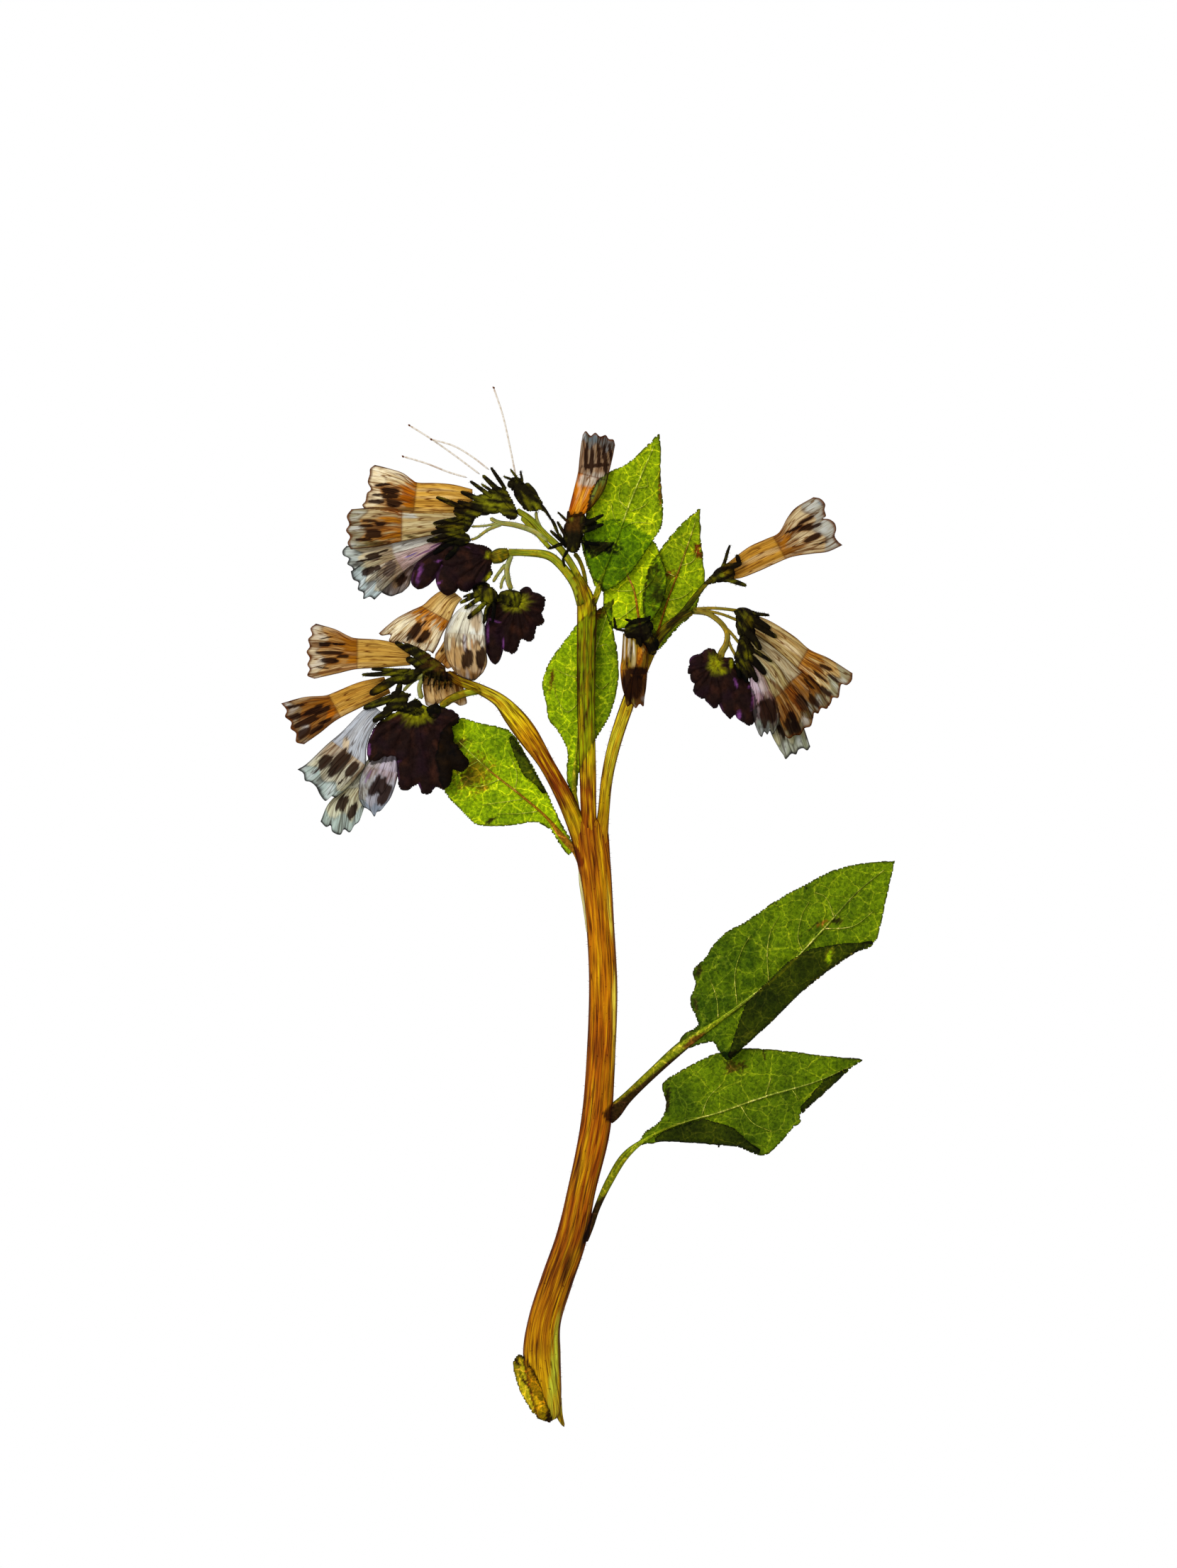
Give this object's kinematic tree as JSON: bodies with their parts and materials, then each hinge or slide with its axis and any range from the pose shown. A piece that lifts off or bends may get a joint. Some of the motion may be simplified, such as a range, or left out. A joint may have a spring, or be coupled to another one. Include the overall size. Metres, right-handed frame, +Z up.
{
  "type": "pressed flowering sprig of rough comfrey",
  "caption": "Pressed, dried and cut sprig of rough comfrey: forked stem, net-veined leaves and coiled cymes of tubular blooms, lying flat.",
  "frame": {"origin": "on the surface that the sprig lies on, under the middle of its outline", "axes": "+Y from the cut end of the stem to the flowers, +X to the right as the sprig is seen from above, +Z up off the surface"},
  "size_m": [0.078, 0.1322, 0.0046],
  "materials": {
    "stem": "dry fibrous amber brown, yellow-green at the forks",
    "leaf": "thin dried leaf with raised net veins",
    "corolla": "thin dried petal tube, tan, with dark patches",
    "young_corolla": "thin dried petal tube, pale blue grey, with dark patches",
    "calyx": "bristly dark green",
    "bud": "near-black purple, finely hairy",
    "style": "dry pale thread"
  },
  "bodies": {
    "root": {"stem": "stem", "corolla_1a": "corolla", "corolla_1b": "corolla", "corolla_1c": "young_corolla", "corolla_1d": "young_corolla", "corolla_2a": "corolla", "corolla_2c": "corolla", "corolla_3a": "corolla", "corolla_3b": "corolla", "corolla_3c": "young_corolla", "corolla_3d": "young_corolla", "corolla_3f": "corolla", "corolla_4": "corolla", "corolla_5": "corolla", "corolla_6": "corolla", "corolla_7a": "corolla", "corolla_7b": "corolla", "corolla_7c": "corolla", "corolla_7d": "young_corolla", "corolla_1e": "young_corolla", "corolla_2b": "young_corolla", "corolla_3e": "young_corolla", "corolla_7e": "young_corolla", "calyces_1": "calyx", "calyx_1_spent": "calyx", "calyces_2": "calyx", "calyces_3": "calyx", "calyx_4": "calyx", "calyx_5": "calyx", "calyx_6": "calyx", "calyces_7": "calyx", "buds_1": "bud", "buds_2": "bud", "buds_3": "bud", "buds_7": "bud", "style_1": "style", "style_2": "style", "style_3": "style", "style_4": "style", "leaf_central": "leaf", "leaf_mid_left": "leaf", "leaf_upper_right": "leaf", "leaf_upper_low": "leaf", "leaf_upper_top": "leaf", "leaf_lower_big": "leaf", "leaf_lower_small": "leaf"}
  },
  "joints": []
}
